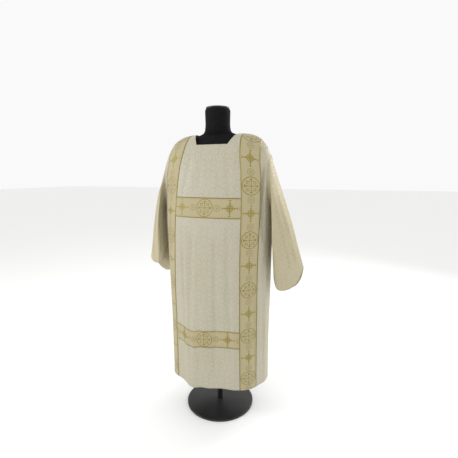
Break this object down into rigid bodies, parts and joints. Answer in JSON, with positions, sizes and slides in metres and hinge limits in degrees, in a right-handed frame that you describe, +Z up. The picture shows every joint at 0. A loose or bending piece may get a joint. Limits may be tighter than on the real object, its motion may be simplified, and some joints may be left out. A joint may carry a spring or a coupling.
{
  "type": "dalmatic on a dress form",
  "caption": "Knee-length dalmatic of cream damask with woven galloon strips, worn by a limbless dress form on a round stand.",
  "frame": {"origin": "middle of the stand's underside, on the floor", "axes": "+Z up, -Y the way the wearer faces, +X the wearer's left"},
  "size_m": [0.8578, 0.3913, 1.5623],
  "materials": {
    "damask": "satin-weave damask, cream on cream, soft sheen",
    "galloon": "woven galloon, cream ground with gold figures and edges",
    "form_jersey": "fine black jersey stretched over a smooth form",
    "cap_lacquer": "black lacquer, satin",
    "stand_metal": "black powder coat, satin"
  },
  "bodies": {
    "root": {"sleeve_left": "damask", "sleeve_right": "damask", "front": "damask", "back": "damask", "clavus_left": "galloon", "clavus_right": "galloon", "crossband_chest": "galloon", "crossband_hem": "galloon", "stand_base": "stand_metal", "stand_pole": "stand_metal", "form_torso": "form_jersey", "form_neck_cap": "cap_lacquer"}
  },
  "joints": []
}
